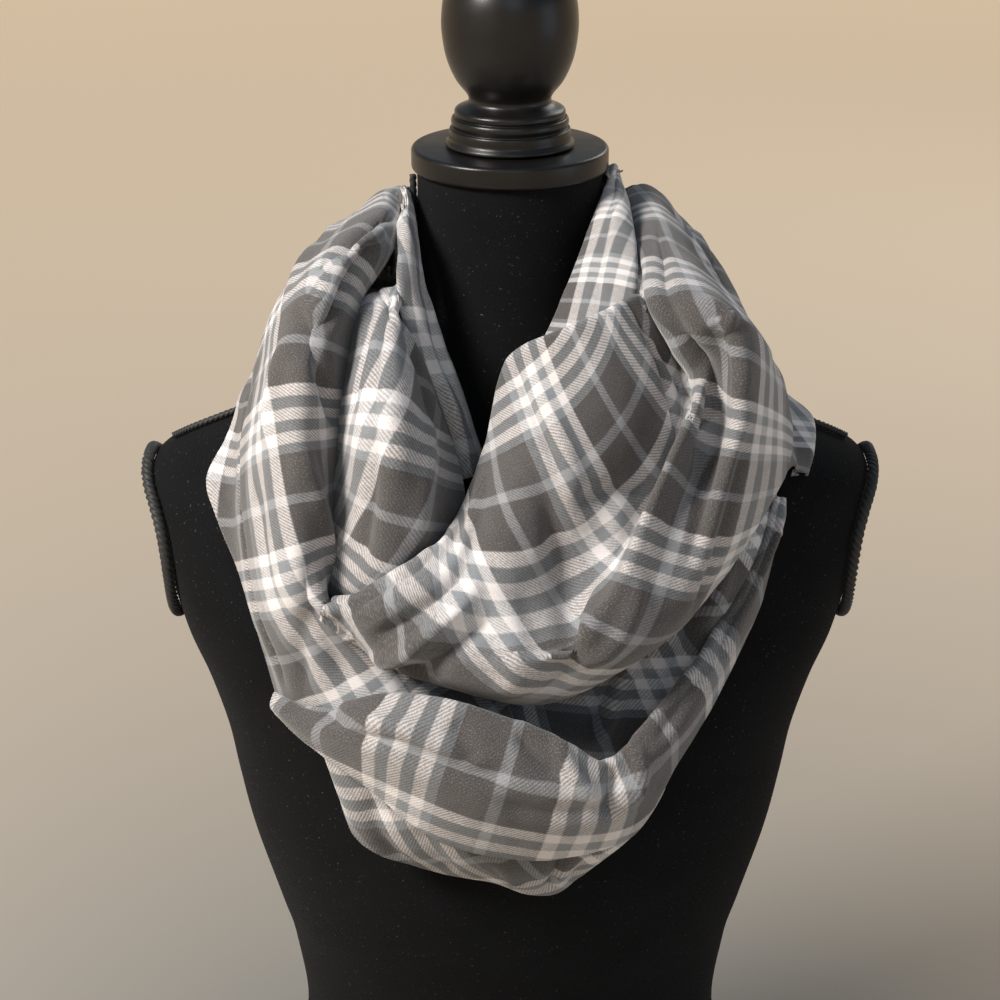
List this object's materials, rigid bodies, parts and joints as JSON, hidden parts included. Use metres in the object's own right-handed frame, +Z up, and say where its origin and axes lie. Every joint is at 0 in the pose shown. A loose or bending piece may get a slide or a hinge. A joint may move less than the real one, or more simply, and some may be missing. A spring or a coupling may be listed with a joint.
{
  "type": "infinity scarf on a table-top dress form",
  "caption": "Loop scarf of brushed plaid cloth, wound double round the neck of a small limbless dress form with a turned finial.",
  "frame": {"origin": "centre of the base plate's underside, where the form stands on a table", "axes": "+Z up along the neck and the finial, the wearer's front towards -Y, +X to the right as seen from the front"},
  "size_m": [0.4098, 0.3206, 0.832],
  "materials": {
    "jersey": "black knitted jersey, matt",
    "lacquered_wood": "black-brown satin lacquer",
    "braid": "black twisted braid",
    "plaid_flannel": "brushed twill flannel in charcoal, blue-grey and white plaid"
  },
  "bodies": {
    "root": {"torso": "jersey", "base_plate": "lacquered_wood", "neck_cap": "lacquered_wood", "finial": "lacquered_wood", "armhole_braid_left": "braid", "armhole_braid_right": "braid", "shoulder_cord_left": "braid", "shoulder_cord_right": "braid", "collar": "plaid_flannel", "upper_back": "plaid_flannel", "upper_right": "plaid_flannel", "upper_front": "plaid_flannel", "upper_left": "plaid_flannel", "lower_right": "plaid_flannel", "lower_back": "plaid_flannel", "lower_left": "plaid_flannel", "lower_inner": "plaid_flannel", "lower_band": "plaid_flannel", "lower_hem": "plaid_flannel"}
  },
  "joints": []
}
